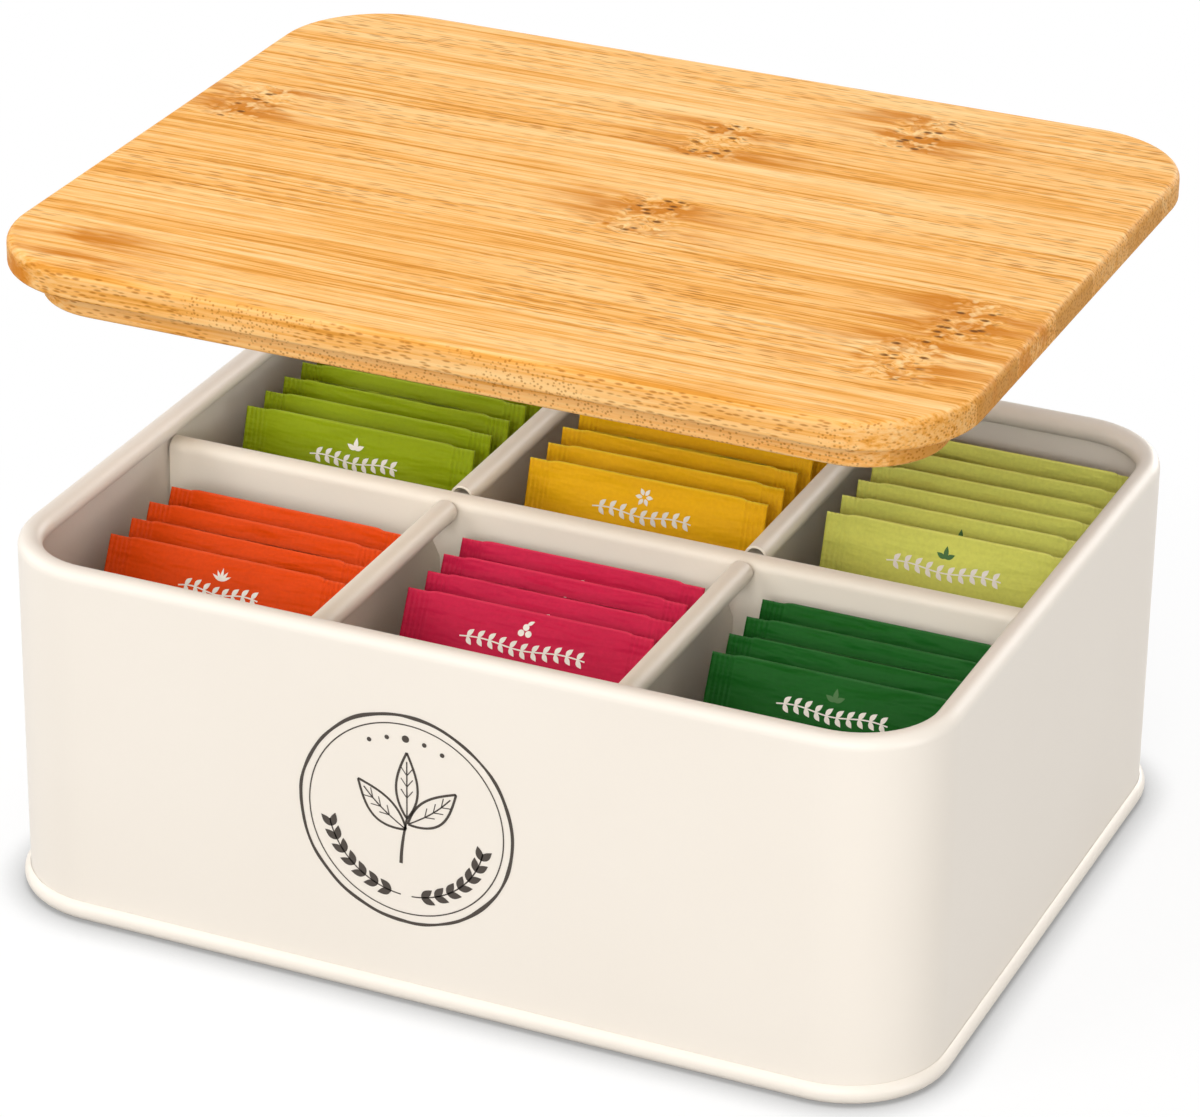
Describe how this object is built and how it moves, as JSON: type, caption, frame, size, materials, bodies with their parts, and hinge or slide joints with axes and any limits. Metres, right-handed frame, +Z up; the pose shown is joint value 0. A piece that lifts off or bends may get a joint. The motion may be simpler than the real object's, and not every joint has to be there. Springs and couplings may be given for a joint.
{
  "type": "tea bag organizer box",
  "caption": "Rectangular painted metal box with rounded corners, crossed dividers forming bays for upright tea sachets, and a rebated bamboo lid that lifts off.",
  "frame": {"origin": "middle of the resting face under the base seam", "axes": "+Z up out of the open top, +X along the long side to the right when the box is seen from the front, +Y towards the back"},
  "size_m": [0.2432, 0.1932, 0.1725],
  "materials": {
    "box_paint": "satin",
    "divider_paint": "satin",
    "bamboo_board": "satin",
    "bamboo_plug": "satin",
    "orange_paper": "satin",
    "berry_paper": "satin",
    "dark_green_paper": "satin",
    "leaf_green_paper": "satin",
    "amber_paper": "satin",
    "pale_green_paper": "satin"
  },
  "bodies": {
    "box": {"wall_shell": "box_paint", "base_pan": "box_paint", "long_divider": "divider_paint", "left_cross_divider": "divider_paint", "right_cross_divider": "divider_paint", "orange_sachet_1": "orange_paper", "orange_sachet_2": "orange_paper", "orange_sachet_3": "orange_paper", "orange_sachet_4": "orange_paper", "berry_sachet_1": "berry_paper", "berry_sachet_2": "berry_paper", "berry_sachet_3": "berry_paper", "berry_sachet_4": "berry_paper", "dark_green_sachet_1": "dark_green_paper", "dark_green_sachet_2": "dark_green_paper", "dark_green_sachet_3": "dark_green_paper", "dark_green_sachet_4": "dark_green_paper", "leaf_green_sachet_1": "leaf_green_paper", "leaf_green_sachet_2": "leaf_green_paper", "leaf_green_sachet_3": "leaf_green_paper", "leaf_green_sachet_4": "leaf_green_paper", "leaf_green_sachet_5": "leaf_green_paper", "leaf_green_sachet_6": "leaf_green_paper", "amber_sachet_1": "amber_paper", "amber_sachet_2": "amber_paper", "amber_sachet_3": "amber_paper", "amber_sachet_4": "amber_paper", "amber_sachet_5": "amber_paper", "amber_sachet_6": "amber_paper", "pale_green_sachet_1": "pale_green_paper", "pale_green_sachet_2": "pale_green_paper", "pale_green_sachet_3": "pale_green_paper", "pale_green_sachet_4": "pale_green_paper", "pale_green_sachet_5": "pale_green_paper", "pale_green_sachet_6": "pale_green_paper"},
    "lid": {"lid_board": "bamboo_board", "lid_plug": "bamboo_plug"}
  },
  "joints": [
    {"name": "lid_lift", "type": "slide", "parent": "box", "child": "lid", "axis": [0, 0, 1], "range_m": [-0.07, 0.05]}
  ]
}
